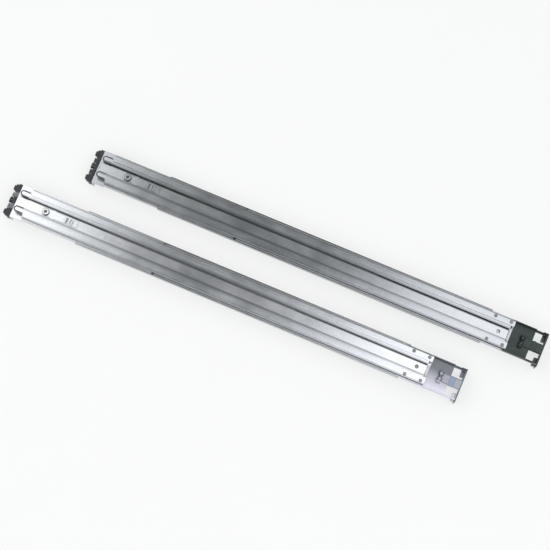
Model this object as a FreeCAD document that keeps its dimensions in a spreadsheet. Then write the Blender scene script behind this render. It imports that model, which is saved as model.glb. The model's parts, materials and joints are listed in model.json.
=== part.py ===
"""Sliding server rail pair: two ball-bearing rack rails with toolless ends.

Each rail lies on its back, open side up, standing on its two end flanges.
Rail frame: +X from the front flange to the rear flange, +Y across the rail,
+Z up, towards the server side.  Millimetres throughout.
"""
import FreeCAD, Part
import os
import re
import Sketcher

# alias, value, meaning
SIZES = (
    ("rear_reach", "43.9", "outer member's rear edge to the rear flange's outer face"),
    ("rail_spacing", "78.6", "centre line to centre line of the two rails"),
    ("rail_stagger", "75.4", "how far the left rail lies behind the right one"),
    ("flange_drop", "19.7", "flange edge to the underside of the front bracket"),
    ("eia_step", "15.875", "spacing of the holes in a rack post"),
    ("channel_wall", "1.2", "sheet of the outer channel"),
    ("channel_height", "10", "outer channel, underside to rim"),
    ("channel_setback", "72.2", "outer member's front edge to the channel's"),
    ("channel_inset", "31.3", "channel's rear edge to the outer member's"),
    ("bracket_wall", "1.2", "sheet of the rear bracket"),
    ("bracket_gap", "0.3", "clearance on each face of the rear bracket"),
    ("bracket_rim", "8.5", "rear bracket, underside to rim"),
    ("web_gap", "3", "front bracket's web to the rear bracket's, when closed"),
    ("slot_margin", "10.8", "rear bracket's front edge to its guide slot"),
    ("front_web_length", "189", "length of the front bracket behind its flange"),
    ("outer_width", "37.6", "width of the outer member"),
    ("outer_height", "12", "height of the outer member"),
    ("outer_wall", "1.4", "sheet of the outer member"),
    ("outer_lip", "7.8", "width of the outer member's lips"),
    ("outer_setback", "16.1", "front flange to the outer member"),
    ("outer_length", "530", "length of the outer member"),
    ("slide_gap", "0.3", "clearance between sliding sheets"),
    ("ball_gap", "0.1", "play of the balls in a race"),
    ("ball_size", "4", "diameter of the outer balls"),
    ("ball_pitch", "20", "spacing of the balls in a cage"),
    ("ball_grip", "0.05", "how far a cage grips each ball"),
    ("cage_wall", "0.6", "sheet of both ball cages"),
    ("mid_travel", "340", "how far the intermediate member slides out"),
    ("cage_room", "0.4", "outer ball cage to the front stops, when slid out"),
    ("cage_length", "170", "length of the outer ball cage"),
    ("mid_wall", "1.2", "sheet of the intermediate member"),
    ("mid_lip", "6.2", "width of the intermediate member's lips"),
    ("mid_proud", "12.5", "intermediate member in front of the outer one"),
    ("mid_inset", "3.8", "intermediate member's rear edge to the outer one's"),
    ("mid_corner", "3", "radius of the intermediate member's front corners"),
    ("inner_ball", "3", "diameter of the inner balls"),
    ("inner_clear", "37.1", "lock lever to the inner ball cage"),
    ("inner_length", "250", "length of the inner ball cage"),
    ("pin_length", "11", "mounting pins, tip to flange"),
    ("pin_side", "9.2", "square section of the mounting pins"),
    ("pin_stub", "2.6", "length of the pins' round stubs, tip included"),
    ("pin_round", "3.4", "radius of the pins' round stubs"),
    ("pin_taper", "0.6", "bevel at the tip of a stub"),
    ("pin_level", "10.8", "flange edge to the pin centres"),
    ("boss_collar", "1.6", "thickness of the threaded boss's collar"),
    ("insert_start", "1.2", "pin tips to the face of the front threaded boss"),
    ("insert_outer", "3.8", "radius of the front threaded boss"),
    ("thread_radius", "2.5", "radius of the front boss's thread"),
    ("claw_width", "5.6", "width of each claw arm"),
    ("claw_inner", "4.6", "inner edge of the claw arms"),
    ("claw_sheet", "1.6", "sheet of the front latch"),
    ("claw_reach", "9.4", "how far the claws reach in front of the flange"),
    ("claw_hook", "2.4", "depth of the claws' hooks"),
    ("latch_pivot", "9", "flange face to the front latch pivot"),
    ("latch_tail", "40", "pivot to the finger tab of the front latch"),
    ("tab_height", "5", "height of the front latch's finger tab"),
    ("hub_wall", "1.6", "wall of the latch hubs"),
    ("pivot_radius", "1.5", "radius of the latch pivots"),
    ("pivot_play", "0.06", "radial clearance on a pivot"),
    ("ear_sheet", "1.6", "thickness of the pivot ears"),
    ("ear_gap", "0.4", "clearance between an ear and a latch"),
    ("swing_room", "3.2", "room in the flange slots for the claws to lift"),
    ("rivet_shank", "2", "radius of the bracket rivets"),
    ("rivet_head", "3.5", "radius of the bracket rivet heads"),
    ("rivet_rise", "0.9", "height of the rivet heads"),
    ("rivet_inset", "20.7", "bracket rivets from the edges they hold down"),
    ("rivet_side", "10", "bracket rivets from the centre line"),
    ("shoulder_inset", "20.8", "last shoulder rivet to the channel's rear edge"),
    ("shoulder_step", "25", "spacing of the shoulder rivets"),
    ("shoulder_radius", "2.9", "radius of the shoulders in the bracket's slot"),
    ("stop_setback", "1.5", "outer member's front edge to the front race stops"),
    ("stop_length", "6", "length of the front race stops"),
    ("rear_stop_inset", "30.1", "rear race stops' front face to the member's rear edge"),
    ("stop_block", "29", "length of the rear race stops"),
    ("stop_rivet_inset", "25.7", "first stop rivets to the member's rear edge"),
    ("stop_rivet_step", "20.5", "spacing of the stop rivets"),
    ("stop_rivet_radius", "1.4", "shank radius of the stop rivets"),
    ("stop_rivet_head", "2.3", "head radius of the stop rivets"),
    ("stop_rivet_rise", "0.7", "head height of the stop rivets"),
    ("sight_inset", "15.4", "hole through both members to the outer one's rear edge"),
    ("sight_radius", "2.5", "radius of that hole"),
    ("bumper_gap", "0.6", "clearance from intermediate member to its bumper"),
    ("bumper_length", "3", "thickness of the rear bumper"),
    ("bumper_width", "14", "width of the rear bumper"),
    ("lever_setback", "36.3", "intermediate member's front edge to the lever's pivot"),
    ("lever_front", "5", "pivot to the lever's front end"),
    ("lever_back", "42", "pivot to the lever's rear end"),
    ("lever_width", "8.6", "width of the lock lever"),
    ("lever_sheet", "1", "sheet of the lock lever"),
    ("lever_ear", "10.1", "pivot to the middle of the lever's ears"),
    ("ear_length", "5", "length of the lever's ears"),
    ("ear_reach", "6.7", "half width over the lever's ears"),
    ("grip_first", "27.4", "pivot to the lever's first finger grip"),
    ("grip_step", "7.1", "spacing of the two finger grips"),
    ("grip_slot", "2.6", "width of the slot beside each grip"),
    ("grip_sheet", "1", "thickness of each grip"),
    ("grip_rise", "3", "height of each grip above the lever"),
    ("tube_outer", "3.1", "radius of the lever's hollow rivet"),
    ("tube_inner", "2.3", "bore of the lever's hollow rivet"),
    ("tube_head", "4.3", "head radius of the lever's hollow rivet"),
    ("tube_head_rise", "0.8", "head height of the lever's hollow rivet"),
    ("spring_wire", "0.7", "wire of the torsion springs"),
    ("spring_turns", "3", "turns of the torsion springs"),
    ("cap_length", "8", "length of the nylon lip caps"),
    ("cap_gap", "0.3", "lip caps below the lips and beside the walls"),
    ("flange_width", "43", "width of both end flanges"),
    ("window_length", "14", "length of the rear windows"),
    ("window_inner", "6.4", "inner edge of the rear windows"),
    ("window_outer", "17.4", "outer edge of the rear windows"),
    ("notch_length", "9", "length of the notches in the rear walls"),
    ("notch_depth", "5", "depth of the notches in the rear walls"),
    ("post_hole", "3", "radius of the rear flange's holes"),
    ("nut_side", "10", "square of the rear weld nuts"),
    ("nut_height", "5", "thickness of the rear weld nuts"),
    ("tongue_length", "27", "rear tongue, pivot to tip"),
    ("tongue_front", "2.4", "rear tongue in front of its pivot"),
    ("tongue_width", "10.4", "width of the rear tongue"),
    ("tongue_sheet", "1.2", "sheet of the rear tongue"),
    ("tongue_lift", "0.6", "clearance under the rear tongue"),
    ("tongue_pivot", "28.4", "rear tongue's pivot from the rear flange"),
    ("tooth_depth", "3.6", "depth of the tongue's tooth"),
    ("tooth_length", "2", "thickness of the tongue's tooth"),
    ("tooth_place", "6", "tooth from the rear flange"),
    ("pad_length", "13", "length of the tongue's oval pad, across the rail"),
    ("pad_width", "7", "width of the tongue's oval pad, along the rail"),
    ("pad_rise", "0.8", "height of the tongue's oval pad"),
    ("bend", "1", "outer bend radius of the pressed channels"),
    ("edge_match", "0.01", "how near an edge lies to a bend's line"),
    ("head_taper", "0.7", "rivet head's narrow end over its wide end"),
    ("tube_taper", "0.85", "tube rivet's narrow end over its wide end"),
    ("pivot_flare", "1.5", "pivot head's radius over the pin's"),
    ("pin_bar", "5.2", "thickness of the moulded bar that carries the pins"),
    ("pin_bar_half", "7.36", "half height of the moulded bar"),
)
ALIASES = {alias for alias, text, meaning in SIZES}

# Levels above the flange edges, from the bottom of the stack to the top.
CHANNEL_BASE = "(flange_drop - channel_wall)"
CHANNEL_RIM = f"({CHANNEL_BASE} + channel_height)"
FRONT_SHEET = "(bracket_wall + 2 * bracket_gap)"
REAR_BASE = "(flange_drop + bracket_gap)"
REAR_WEB_TOP = f"({REAR_BASE} + bracket_wall)"
REAR_RIM = f"({REAR_BASE} + bracket_rim)"
OUTER_BASE = f"(flange_drop + {FRONT_SHEET})"
OUTER_FLOOR = f"({OUTER_BASE} + outer_wall)"
OUTER_TOP = f"({OUTER_BASE} + outer_height)"
OUTER_CEILING = f"({OUTER_TOP} - outer_wall)"
CAGE_BASE = f"({OUTER_FLOOR} + slide_gap)"
MID_BASE = f"({CAGE_BASE} + cage_wall + slide_gap)"
MID_FLOOR = f"({MID_BASE} + mid_wall)"
MID_TOP = f"({OUTER_CEILING} - slide_gap)"
MID_CEILING = f"({MID_TOP} - mid_wall)"
INNER_BASE = f"({MID_FLOOR} + slide_gap)"
INNER_RIM = f"({MID_CEILING} - slide_gap)"
LEVER_TOP = f"({INNER_BASE} + lever_sheet)"
BALL_LEVEL = f"(({OUTER_FLOOR} + {OUTER_CEILING}) / 2)"
INNER_BALL_LEVEL = f"(({MID_FLOOR} + {MID_CEILING}) / 2)"

# Half widths, from the centre line outwards.
OUTER_HALF = "(outer_width / 2)"
OUTER_INSIDE = f"({OUTER_HALF} - outer_wall)"
RACE = f"({OUTER_INSIDE} - ball_gap - ball_size / 2)"
MID_HALF = f"({RACE} - ball_size / 2 - ball_gap)"
MID_INSIDE = f"({MID_HALF} - mid_wall)"
INNER_RACE = f"({MID_INSIDE} - ball_gap - inner_ball / 2)"
REAR_INSIDE = f"({OUTER_HALF} + bracket_gap)"
REAR_HALF = f"({REAR_INSIDE} + bracket_wall)"
CHANNEL_INSIDE = f"({OUTER_HALF} + {FRONT_SHEET})"
CHANNEL_HALF = f"({CHANNEL_INSIDE} + channel_wall)"

# Stations along the rail.
OUTER_START = "(pin_length + outer_setback)"
OUTER_END = f"({OUTER_START} + outer_length)"
RAIL_LENGTH = f"({OUTER_END} + rear_reach)"
CHANNEL_START = f"({OUTER_START} + channel_setback)"
CHANNEL_END = f"({OUTER_END} - channel_inset)"
FRONT_END = "(pin_length + front_web_length)"
REAR_START = f"({FRONT_END} + web_gap)"
RIVET_FIRST = f"({CHANNEL_START} + rivet_inset)"
RIVET_LAST = f"({FRONT_END} - rivet_inset)"
SHOULDER_LAST = f"({CHANNEL_END} - shoulder_inset)"
SHOULDER_FIRST = f"({SHOULDER_LAST} - shoulder_step)"
MID_START = f"({OUTER_START} - mid_proud)"
MID_END = f"({OUTER_END} - mid_inset)"
FRONT_STOP = f"({OUTER_START} + stop_setback)"
REAR_STOP = f"({OUTER_END} - rear_stop_inset)"
STOP_RIVET = f"({OUTER_END} - stop_rivet_inset)"
CAGE_START = f"({FRONT_STOP} + stop_length + mid_travel / 2 + cage_room)"
SIGHT_HOLE = f"({OUTER_END} - sight_inset)"
LEVER_X = f"({MID_START} + lever_setback)"
LEVER_END = f"({LEVER_X} + lever_back)"
INNER_START = f"({LEVER_END} + inner_clear)"
LATCH_X = "(pin_length + latch_pivot)"
REAR_FACE = f"({RAIL_LENGTH} - bracket_wall)"
WINDOW_END = f"({REAR_FACE} - bracket_wall)"
WINDOW_START = f"({WINDOW_END} - window_length)"
TONGUE_X = f"({RAIL_LENGTH} - tongue_pivot)"
TONGUE_BASE = f"({REAR_WEB_TOP} + tongue_lift)"
TONGUE_LEVEL = f"({TONGUE_BASE} + tongue_sheet + ear_gap + spring_wire + pivot_radius)"
CLAW_HALF = "(claw_inner + claw_width)"
EAR_INNER = f"({CLAW_HALF} + ear_gap)"
TONGUE_EAR = "(tongue_width / 2 + ear_gap)"

# Room for the bands that part the pressings.
BELOW = "-flange_drop"
ABOVE = f"({OUTER_TOP} + outer_height)"
FULL_RUN = ("-pin_length", f"{RAIL_LENGTH} + pin_length")

doc = FreeCAD.newDocument("server_rail_pair")
sheet = doc.addObject("Spreadsheet::Sheet", "Sheet")
for row, (alias, text, meaning) in enumerate(SIZES, start=1):
    sheet.set(f"A{row}", meaning)
    sheet.set(f"B{row}", text)
    sheet.setAlias(f"B{row}", alias)
doc.recompute()


def linked(expression):
    """The same expression with every size read from the sheet."""
    def name(match):
        word = match.group()
        return f"Sheet.{word}" if word in ALIASES else word
    return re.sub(r"[a-z_]+", name, str(expression))


def number(expression):
    """What an expression of the sheet's sizes comes to."""
    return float(sheet.evalExpression(linked(expression)))


def bind(item, **properties):
    """Tie properties of an object to expressions; _ stands for a dot."""
    for path, expression in properties.items():
        item.setExpression(path.replace("_", "."), linked(expression))
    return item


def place(item, x="0", y="0", z="0"):
    """Tie an object's position to three expressions."""
    return bind(item, Placement_Base_x=x, Placement_Base_y=y, Placement_Base_z=z)


# ---- sketches and features of a PartDesign body -------------------------

def new_sketch(body, role, offset):
    """A sketch on one of the body's origin planes, moved along its normal."""
    sketch = body.newObject("Sketcher::SketchObject", "Outline")
    plane = next(item for item in body.Origin.OriginFeatures if item.Role == role)
    sketch.AttachmentSupport = (plane, [""])
    sketch.MapMode = "FlatFace"
    return bind(sketch, AttachmentOffset_Base_z=offset)


def dimension(sketch, kind, element, point, expression):
    """A signed distance from the sketch's origin to a point."""
    row = sketch.addConstraint(
        Sketcher.Constraint(kind, -1, 1, element, point, number(expression)))
    sketch.setExpression(f"Constraints[{row}]", linked(expression))


def draw_outline(sketch, corners):
    """Add a closed outline whose corners are pairs of expressions."""
    points = [FreeCAD.Vector(number(u), number(v), 0) for u, v in corners]
    first = sketch.GeometryCount
    count = len(points)
    for index in range(count):
        line = Part.LineSegment(points[index], points[(index + 1) % count])
        sketch.addGeometry(line, False)
    for index in range(count):
        joined = first + (index + 1) % count
        sketch.addConstraint(Sketcher.Constraint("Coincident", first + index, 2, joined, 1))
    for index, (u, v) in enumerate(corners):
        dimension(sketch, "DistanceX", first + index, 1, u)
        dimension(sketch, "DistanceY", first + index, 1, v)


def draw_circles(sketch, centres, radius):
    """Add circles of one radius at pairs of expressions."""
    for u, v in centres:
        centre = FreeCAD.Vector(number(u), number(v), 0)
        circle = Part.Circle(centre, FreeCAD.Vector(0, 0, 1), number(radius))
        element = sketch.addGeometry(circle, False)
        row = sketch.addConstraint(Sketcher.Constraint("Radius", element, number(radius)))
        sketch.setExpression(f"Constraints[{row}]", linked(radius))
        dimension(sketch, "DistanceX", element, 3, u)
        dimension(sketch, "DistanceY", element, 3, v)


def pressed_channel(name, corners, start, length):
    """A body whose section across the rail is padded along it."""
    body = doc.addObject("PartDesign::Body", name)
    sketch = new_sketch(body, "YZ_Plane", start)
    draw_outline(sketch, corners)
    pad = body.newObject("PartDesign::Pad", "Run")
    pad.Profile = sketch
    bind(pad, Length=length)
    return body


def cut_down(body, top, depth, outlines=(), centres=(), radius="0"):
    """Cut outlines and round holes downwards from a level."""
    sketch = new_sketch(body, "XY_Plane", top)
    for corners in outlines:
        draw_outline(sketch, corners)
    draw_circles(sketch, centres, radius)
    pocket = body.newObject("PartDesign::Pocket", "Opening")
    pocket.Profile = sketch
    bind(pocket, Length=depth)


def cut_forward(body, station, depth, outlines=(), centres=(), radius="0"):
    """Cut outlines and round holes towards -X from a station."""
    sketch = new_sketch(body, "YZ_Plane", station)
    for corners in outlines:
        draw_outline(sketch, corners)
    draw_circles(sketch, centres, radius)
    pocket = body.newObject("PartDesign::Pocket", "Opening")
    pocket.Profile = sketch
    bind(pocket, Length=depth)


def round_bends(body, half, levels):
    """Round the long outer edges of a channel at the given levels."""
    doc.recompute()
    tip = body.Tip
    heights = [number(level) for level in levels]
    near = number("edge_match")
    names = []
    for index, edge in enumerate(tip.Shape.Edges, start=1):
        box = edge.BoundBox
        level = any(abs(box.ZMin - height) < near for height in heights)
        outside = abs(abs(box.YMin) - number(half)) < near
        if level and outside and box.YLength < near and box.ZLength < near:
            names.append(f"Edge{index}")
    fillet = body.newObject("PartDesign::Fillet", "Bend")
    fillet.Base = (tip, names)
    bind(fillet, Radius="bend")


def rectangle(low_u, high_u, low_v, high_v):
    return [(low_u, low_v), (high_u, low_v), (high_u, high_v), (low_u, high_v)]


def open_channel(half, base, rim, sheet_size):
    """Section of a plain U channel, open upwards."""
    floor = f"{base} + {sheet_size}"
    inside = f"{half} - {sheet_size}"
    return [(f"-({half})", base), (half, base), (half, rim), (inside, rim),
            (inside, floor), (f"-({inside})", floor), (f"-({inside})", rim),
            (f"-({half})", rim)]


def lipped_channel(half, base, top, sheet_size, lip):
    """Section of a C channel whose lips turn inwards at the top."""
    floor = f"{base} + {sheet_size}"
    ceiling = f"{top} - {sheet_size}"
    inside = f"{half} - {sheet_size}"
    edge = f"{half} - {lip}"
    return [(f"-({half})", base), (half, base), (half, top), (edge, top),
            (edge, ceiling), (inside, ceiling), (inside, floor),
            (f"-({inside})", floor), (f"-({inside})", ceiling),
            (f"-({edge})", ceiling), (f"-({edge})", top), (f"-({half})", top)]


# ---- primitives ---------------------------------------------------------

TURNED = {
    "x": FreeCAD.Rotation(FreeCAD.Vector(0, 1, 0), 90),
    "y": FreeCAD.Rotation(FreeCAD.Vector(1, 0, 0), -90),
    "z": FreeCAD.Rotation(),
}


def block(x, y, z):
    """A box between three (low, high) pairs."""
    item = doc.addObject("Part::Box", "Block")
    bind(item, Length=f"({x[1]}) - ({x[0]})", Width=f"({y[1]}) - ({y[0]})")
    bind(item, Height=f"({z[1]}) - ({z[0]})")
    return place(item, x[0], y[0], z[0])


def rod(axis, radius, length, x="0", y="0", z="0"):
    """A cylinder that starts at a point and runs along an axis."""
    item = doc.addObject("Part::Cylinder", "Rod")
    item.Placement = FreeCAD.Placement(FreeCAD.Vector(), TURNED[axis])
    bind(item, Radius=radius, Height=length)
    return place(item, x, y, z)


def cone(axis, first, last, length, x="0", y="0", z="0"):
    """A cone frustum that starts at a point and runs along an axis."""
    item = doc.addObject("Part::Cone", "Taper")
    item.Placement = FreeCAD.Placement(FreeCAD.Vector(), TURNED[axis])
    bind(item, Radius1=first, Radius2=last, Height=length)
    return place(item, x, y, z)


def fused(name, members):
    item = doc.addObject("Part::MultiFuse", name)
    item.Shapes = members
    return item


def grouped(name, members):
    item = doc.addObject("Part::Compound", name)
    item.Links = members
    return item


def cut(name, base, tool):
    item = doc.addObject("Part::Cut", name)
    item.Base = base
    item.Tool = tool
    return item


def divided(name, pressing, bands):
    """A pressing parted at its bends, so that each piece of it is flat."""
    pieces = []
    for x, y, z in bands:
        piece = doc.addObject("Part::MultiCommon", f"{name}_piece")
        piece.Shapes = [pressing, block(x, y, z)]
        pieces.append(piece)
    return grouped(name, pieces)


def at_bends(run, inside, *levels):
    """Bands for both walls, and for what lies between them at the given levels."""
    middle = [(run, span(inside), level) for level in levels]
    walls = [(run, side, (BELOW, ABOVE)) for side in
             ((inside, f"2 * {inside}"), (f"-2 * {inside}", f"-({inside})"))]
    return middle + walls


def both_sides(y):
    """The same distance on either side of the centre line."""
    return (f"-({y})", y)


def span(half):
    """From one side of the centre line to the other."""
    return (f"-({half})", half)


# ---- the fixed part of a rail -------------------------------------------

def bracket_rivet_places():
    pairs = []
    for station in (RIVET_FIRST, RIVET_LAST):
        for side in both_sides("rivet_side"):
            pairs.append((station, side))
    return pairs


def shoulder_places():
    return [(SHOULDER_FIRST, "0"), (SHOULDER_LAST, "0")]


def outer_member(name):
    body = pressed_channel(
        f"{name}_press", lipped_channel(OUTER_HALF, OUTER_BASE, OUTER_TOP, "outer_wall", "outer_lip"),
        OUTER_START, "outer_length")
    round_bends(body, OUTER_HALF, (OUTER_BASE, OUTER_TOP))
    cut_down(body, OUTER_FLOOR, "2 * outer_wall", centres=bracket_rivet_places()
             + shoulder_places(), radius="rivet_shank")
    cut_down(body, OUTER_FLOOR, "2 * outer_wall", centres=[(SIGHT_HOLE, "0")],
             radius="sight_radius")
    cut_down(body, f"{OUTER_TOP} + outer_wall", "3 * outer_wall",
             centres=stop_rivet_places(), radius="stop_rivet_radius")
    return divided(name, body, at_bends(FULL_RUN, OUTER_INSIDE, (BELOW, OUTER_FLOOR),
                                        (OUTER_CEILING, ABOVE)))


def outer_channel(name):
    body = pressed_channel(
        f"{name}_press", open_channel(CHANNEL_HALF, CHANNEL_BASE, CHANNEL_RIM, "channel_wall"),
        CHANNEL_START, f"{CHANNEL_END} - {CHANNEL_START}")
    round_bends(body, CHANNEL_HALF, (CHANNEL_BASE,))
    cut_down(body, "flange_drop", "2 * channel_wall", centres=bracket_rivet_places()
             + shoulder_places(), radius="rivet_shank")
    return divided(name, body, at_bends(FULL_RUN, CHANNEL_INSIDE, (BELOW, "flange_drop")))


def front_bracket(name):
    """Web, cradling walls, the flange that meets the rack post and pivot ears."""
    body = doc.addObject("PartDesign::Body", f"{name}_press")
    sketch = new_sketch(body, "YZ_Plane", OUTER_START)
    draw_outline(sketch, open_channel(CHANNEL_INSIDE, "flange_drop", CHANNEL_RIM, FRONT_SHEET))
    cradle = body.newObject("PartDesign::Pad", "Cradle")
    cradle.Profile = sketch
    bind(cradle, Length=f"{FRONT_END} - {OUTER_START}")
    sketch = new_sketch(body, "YZ_Plane", "pin_length")
    draw_outline(sketch, rectangle(*span("flange_width / 2"), "flange_drop", OUTER_BASE))
    web = body.newObject("PartDesign::Pad", "Web")
    web.Profile = sketch
    bind(web, Length="outer_setback")
    sketch = new_sketch(body, "YZ_Plane", "pin_length")
    draw_outline(sketch, rectangle(*span("flange_width / 2"), "0", OUTER_BASE))
    flange = body.newObject("PartDesign::Pad", "Flange")
    flange.Profile = sketch
    bind(flange, Length=FRONT_SHEET)
    slots = []
    for low, high in (("claw_inner - ear_gap", EAR_INNER), (f"-({EAR_INNER})", "ear_gap - claw_inner")):
        slots.append(rectangle(low, high, "pin_level - claw_hook - claw_sheet",
                               "pin_level + claw_sheet + swing_room"))
    cut_forward(body, f"pin_length + 2 * {FRONT_SHEET}", f"3 * {FRONT_SHEET}", outlines=slots)
    cut_forward(body, f"pin_length + 2 * {FRONT_SHEET}", f"3 * {FRONT_SHEET}",
                centres=[("0", "pin_level")], radius="insert_outer")
    cut_down(body, OUTER_BASE, f"2 * {FRONT_SHEET}", centres=bracket_rivet_places(),
             radius="rivet_shank")
    ears = []
    for low, high in ((EAR_INNER, f"{EAR_INNER} + ear_sheet"),
                      (f"-({EAR_INNER} + ear_sheet)", f"-({EAR_INNER})")):
        ears.append(block((f"{LATCH_X} - 2 * pivot_radius - hub_wall",
                           f"{LATCH_X} + 2 * pivot_radius + hub_wall"), (low, high),
                          ("pin_level - pivot_radius - hub_wall", "flange_drop")))
    pin = rod("y", "pivot_radius", f"2 * ({EAR_INNER} + 2 * ear_sheet)", LATCH_X,
              f"-({EAR_INNER} + 2 * ear_sheet)", "pin_level")
    bored = cut(f"{name}_bored", fused(f"{name}_ears", [body] + ears), pin)
    inner_face = f"(pin_length + {FRONT_SHEET})"
    bands = at_bends((inner_face, FULL_RUN[1]), OUTER_HALF, ("flange_drop", ABOVE),
                     (BELOW, "flange_drop"))
    bands.append((("0", inner_face), span("flange_width"), (BELOW, ABOVE)))
    return divided(name, bored, bands)


def front_pin_block(name):
    """Moulded bar with two round-nosed pins for the rack post's holes."""
    body = doc.addObject("PartDesign::Body", f"{name}_moulding")
    sketch = new_sketch(body, "YZ_Plane", "pin_length - pin_bar")
    draw_outline(sketch, rectangle(*span("flange_width / 2"), "pin_level - pin_bar_half",
                                   "pin_level + pin_bar_half"))
    plate = body.newObject("PartDesign::Pad", "Plate")
    plate.Profile = sketch
    bind(plate, Length="pin_bar")
    sketch = new_sketch(body, "YZ_Plane", "pin_stub")
    for centre in both_sides("eia_step"):
        draw_outline(sketch, rectangle(f"{centre} - pin_side / 2", f"{centre} + pin_side / 2",
                                       "pin_level - pin_side / 2", "pin_level + pin_side / 2"))
    pins = body.newObject("PartDesign::Pad", "Pins")
    pins.Profile = sketch
    bind(pins, Length="pin_length - pin_stub")
    slots = []
    for low, high in (("claw_inner - ear_gap", EAR_INNER), (f"-({EAR_INNER})", "ear_gap - claw_inner")):
        slots.append(rectangle(low, high, "pin_level - pin_side",
                               "pin_level + claw_sheet + swing_room"))
    cut_forward(body, "pin_length", "pin_bar", outlines=slots)
    cut_forward(body, "pin_length", "pin_bar", centres=[("0", "pin_level")],
                radius="insert_outer")
    stubs = []
    for centre in both_sides("eia_step"):
        stubs.append(rod("x", "pin_round", "pin_stub - pin_taper", "pin_taper", centre, "pin_level"))
        stubs.append(cone("x", "pin_round - pin_taper", "pin_round", "pin_taper", "0", centre,
                          "pin_level"))
    return fused(name, [body] + stubs)


def front_screw_insert(name):
    """Threaded boss that takes the server's front screw."""
    boss = rod("x", "insert_outer", f"pin_length + {FRONT_SHEET} - insert_start",
               "insert_start", "0", "pin_level")
    collar = rod("x", "claw_inner - ear_gap", "boss_collar", f"pin_length + {FRONT_SHEET}", "0",
                 "pin_level")
    hole = rod("x", "thread_radius", "2 * pin_length", "0", "0", "pin_level")
    return cut(name, fused(f"{name}_boss", [boss, collar]), hole)


def bracket_rivets(name):
    rivets = []
    for station, side in bracket_rivet_places():
        shank = rod("z", "rivet_shank", f"{OUTER_FLOOR} - {CHANNEL_BASE}", station, side, CHANNEL_BASE)
        head = cone("z", "head_taper * rivet_head", "rivet_head", "rivet_rise", station, side,
                    f"{CHANNEL_BASE} - rivet_rise")
        rivets.append(fused(f"{name}_one", [shank, head]))
    return grouped(name, rivets)


def shoulder_rivets(name):
    """Rivets that guide the rear bracket by its slot."""
    rivets = []
    for station, side in shoulder_places():
        shank = rod("z", "rivet_shank", f"{OUTER_FLOOR} - {CHANNEL_BASE}", station, side, CHANNEL_BASE)
        shoulder = rod("z", "shoulder_radius", FRONT_SHEET, station, side, "flange_drop")
        head = cone("z", "head_taper * rivet_head", "rivet_head", "rivet_rise", station, side,
                    f"{CHANNEL_BASE} - rivet_rise")
        rivets.append(fused(f"{name}_one", [shank, shoulder, head]))
    return grouped(name, rivets)


def race_blocks(name, start, length, holes=()):
    """Steel blocks that close both ball races of the outer member."""
    blocks = []
    for low, high in ((f"{MID_HALF} + slide_gap", OUTER_INSIDE),
                      (f"-({OUTER_INSIDE})", f"-({MID_HALF} + slide_gap)")):
        blocks.append(block((start, f"{start} + {length}"), (low, high), (OUTER_FLOOR, OUTER_CEILING)))
    if not holes:
        return grouped(name, blocks)
    drills = [rod("z", "stop_rivet_radius", OUTER_TOP, station, side, "0")
              for station, side in holes]
    return cut(name, grouped(f"{name}_plain", blocks), grouped(f"{name}_drills", drills))


def stop_rivet_places():
    pairs = []
    for station in (STOP_RIVET, f"{STOP_RIVET} + stop_rivet_step"):
        for side in both_sides(RACE):
            pairs.append((station, side))
    return pairs


def stop_rivets(name):
    rivets = []
    for station, side in stop_rivet_places():
        shank = rod("z", "stop_rivet_radius", f"{OUTER_TOP} - {OUTER_FLOOR}", station, side,
                    OUTER_FLOOR)
        head = cone("z", "stop_rivet_head", "head_taper * stop_rivet_head", "stop_rivet_rise", station,
                    side, OUTER_TOP)
        rivets.append(fused(f"{name}_one", [shank, head]))
    return grouped(name, rivets)


def rear_bumper(name):
    """Rubber block that cushions the intermediate member's rear end."""
    start = f"{MID_END} + bumper_gap"
    pad = block((start, f"{start} + bumper_length"), span("bumper_width / 2"),
                (OUTER_FLOOR, f"{MID_FLOOR} + mid_wall"))
    return grouped(name, [pad])


# ---- latches ------------------------------------------------------------

def hub(x, level, half, bore_half):
    """A round hub about a pivot across the rail, and the bore through it."""
    radius = "(pivot_radius + pivot_play + hub_wall)"
    outside = rod("y", radius, f"2 * ({half})", x, f"-({half})", level)
    bore = rod("y", "pivot_radius + pivot_play", f"2 * ({bore_half})", x, f"-({bore_half})", level)
    return outside, bore


def front_latch(name):
    """Claw plate: two hooked arms through the flange, a hub and a finger tab."""
    level = ("pin_level - claw_sheet / 2", "pin_level + claw_sheet / 2")
    tip = "(pin_length - claw_reach)"
    members = []
    for low, high in (("claw_inner", CLAW_HALF), (f"-({CLAW_HALF})", "-claw_inner")):
        members.append(block((tip, LATCH_X), (low, high), level))
        members.append(block((tip, f"{tip} + claw_sheet"), (low, high),
                             (f"{level[0]} - claw_hook", level[1])))
    plate_start = f"{LATCH_X} - pivot_radius"
    tail_end = f"{LATCH_X} + latch_tail"
    members.append(block((plate_start, tail_end), span(CLAW_HALF), level))
    members.append(block((f"{tail_end} - claw_sheet", tail_end), span(CLAW_HALF),
                         (level[0], f"{level[1]} + tab_height")))
    outside, bore = hub(LATCH_X, "pin_level", CLAW_HALF, f"2 * {CLAW_HALF}")
    return cut(name, fused(f"{name}_plate", members + [outside]), bore)


def pivot(name, x, level, ear):
    """A headed pin across the rail, held by two ears."""
    half = f"({ear} + ear_sheet)"
    shank = rod("y", "pivot_radius", f"2 * {half}", x, f"-({half})", level)
    heads = [rod("y", "pivot_flare * pivot_radius", "rivet_rise", x, half, level),
             rod("y", "pivot_flare * pivot_radius", "rivet_rise", x, f"-({half} + rivet_rise)", level)]
    return fused(name, [shank] + heads)


def leaf(name, x, half, z, sheet_size, drop):
    """A flat spring: a foot held to a web, and an arm bent down from it."""
    foot = block(x, span(half), z)
    arm = block((x[0], f"{x[0]} + {sheet_size}"), span(half), (f"{z[0]} - ({drop})", z[1]))
    return fused(name, [foot, arm])


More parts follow.
